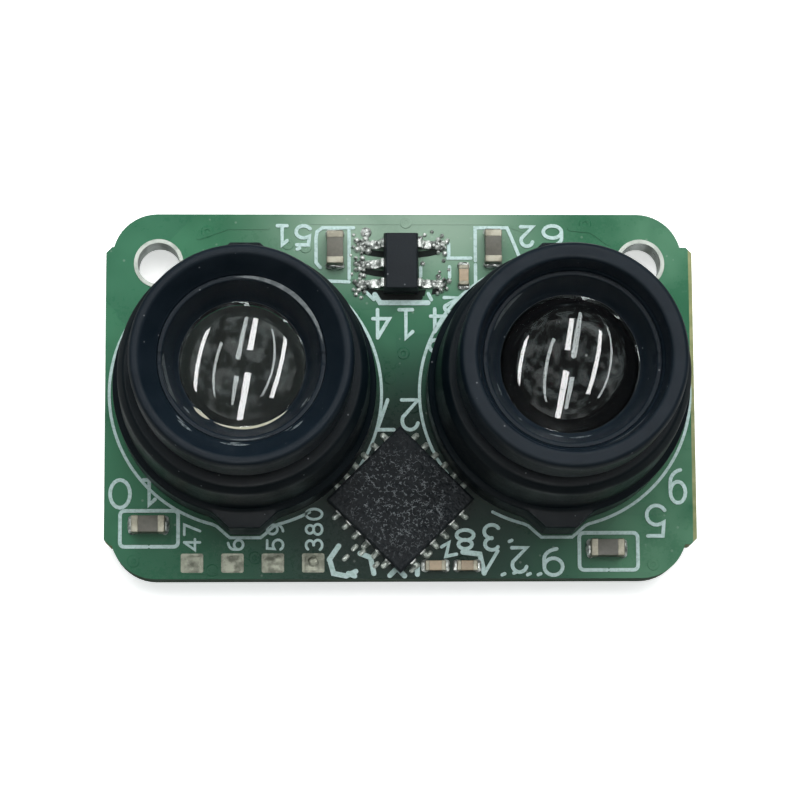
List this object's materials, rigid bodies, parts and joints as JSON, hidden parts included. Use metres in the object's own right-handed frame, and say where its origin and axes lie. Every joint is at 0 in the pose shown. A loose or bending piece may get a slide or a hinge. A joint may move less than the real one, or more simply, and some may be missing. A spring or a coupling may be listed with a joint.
{
  "type": "optical distance sensor",
  "caption": "Distance sensor board with a sending and a receiving lens barrel that screw in their holders to focus, mounting holes and wire pads.",
  "frame": {"origin": "centre of the circuit board's back face", "axes": "+Z towards the side the lenses look at, +X from the sending to the receiving lens, +Y to the edge with the mounting holes"},
  "size_m": [0.028, 0.0176, 0.0133],
  "materials": {
    "solder_mask": "green solder mask over glass-epoxy laminate, semi-gloss",
    "tinned_copper": "tin-plated copper",
    "zinc_steel": "zinc-plated steel",
    "holder_plastic": "black moulded plastic, satin",
    "black_anodised": "black anodised, satin",
    "lens_glass": "clear polished glass",
    "filter_glass": "dark infrared band-pass glass",
    "package_ceramic": "matt ceramic",
    "package_plastic": "black moulding compound",
    "capacitor_ceramic": "brown-grey ceramic",
    "resistor_ceramic": "tan coated ceramic",
    "tin_ends": "matt tin plating",
    "silkscreen_ink": "white printed ink on the mask"
  },
  "bodies": {
    "board": {"circuit_board": "solder_mask", "hole_plating": "tinned_copper", "wire_pads": "tinned_copper", "holder_screws": "zinc_steel", "tx_lens_holder": "holder_plastic", "rx_lens_holder": "holder_plastic", "laser_emitter": "package_ceramic", "receiver_chip": "package_plastic", "infrared_filter": "filter_glass", "regulator_body": "package_plastic", "regulator_leads": "tinned_copper", "microcontroller": "package_plastic", "microcontroller_terminals": "tinned_copper", "capacitor_bodies": "capacitor_ceramic", "capacitor_ends": "tin_ends", "resistor_bodies": "resistor_ceramic", "resistor_ends": "tin_ends"},
    "tx_glass": {"tx_front_lens": "lens_glass", "tx_lens_spacer": "black_anodised", "tx_rear_lens": "lens_glass"},
    "tx_barrel": {"tx_lens_barrel": "black_anodised", "tx_retaining_ring": "black_anodised"},
    "rx_glass": {"rx_front_lens": "lens_glass", "rx_lens_spacer": "black_anodised", "rx_rear_lens": "lens_glass"},
    "rx_barrel": {"rx_lens_barrel": "black_anodised", "rx_retaining_ring": "black_anodised"}
  },
  "joints": [
    {"name": "tx_focus_travel", "type": "slide", "parent": "board", "child": "tx_glass", "axis": [0, 0, 1], "range_m": [-0.00075, 0.0015]},
    {"name": "tx_focus_turn", "type": "hinge", "parent": "tx_glass", "child": "tx_barrel", "pos_m": [-0.00735, 0.0001, 0.0016], "axis": [0, 0, 1], "range_deg": [-541, 1081]},
    {"name": "rx_focus_travel", "type": "slide", "parent": "board", "child": "rx_glass", "axis": [0, 0, 1], "range_m": [-0.00075, 0.0015]},
    {"name": "rx_focus_turn", "type": "hinge", "parent": "rx_glass", "child": "rx_barrel", "pos_m": [0.00735, 0.0001, 0.0016], "axis": [0, 0, 1], "range_deg": [-541, 1081]}
  ],
  "couplings": [
    {"joint": "tx_focus_turn", "follows": "tx_focus_travel", "rad_per_m": 12566},
    {"joint": "rx_focus_turn", "follows": "rx_focus_travel", "rad_per_m": 12566}
  ]
}
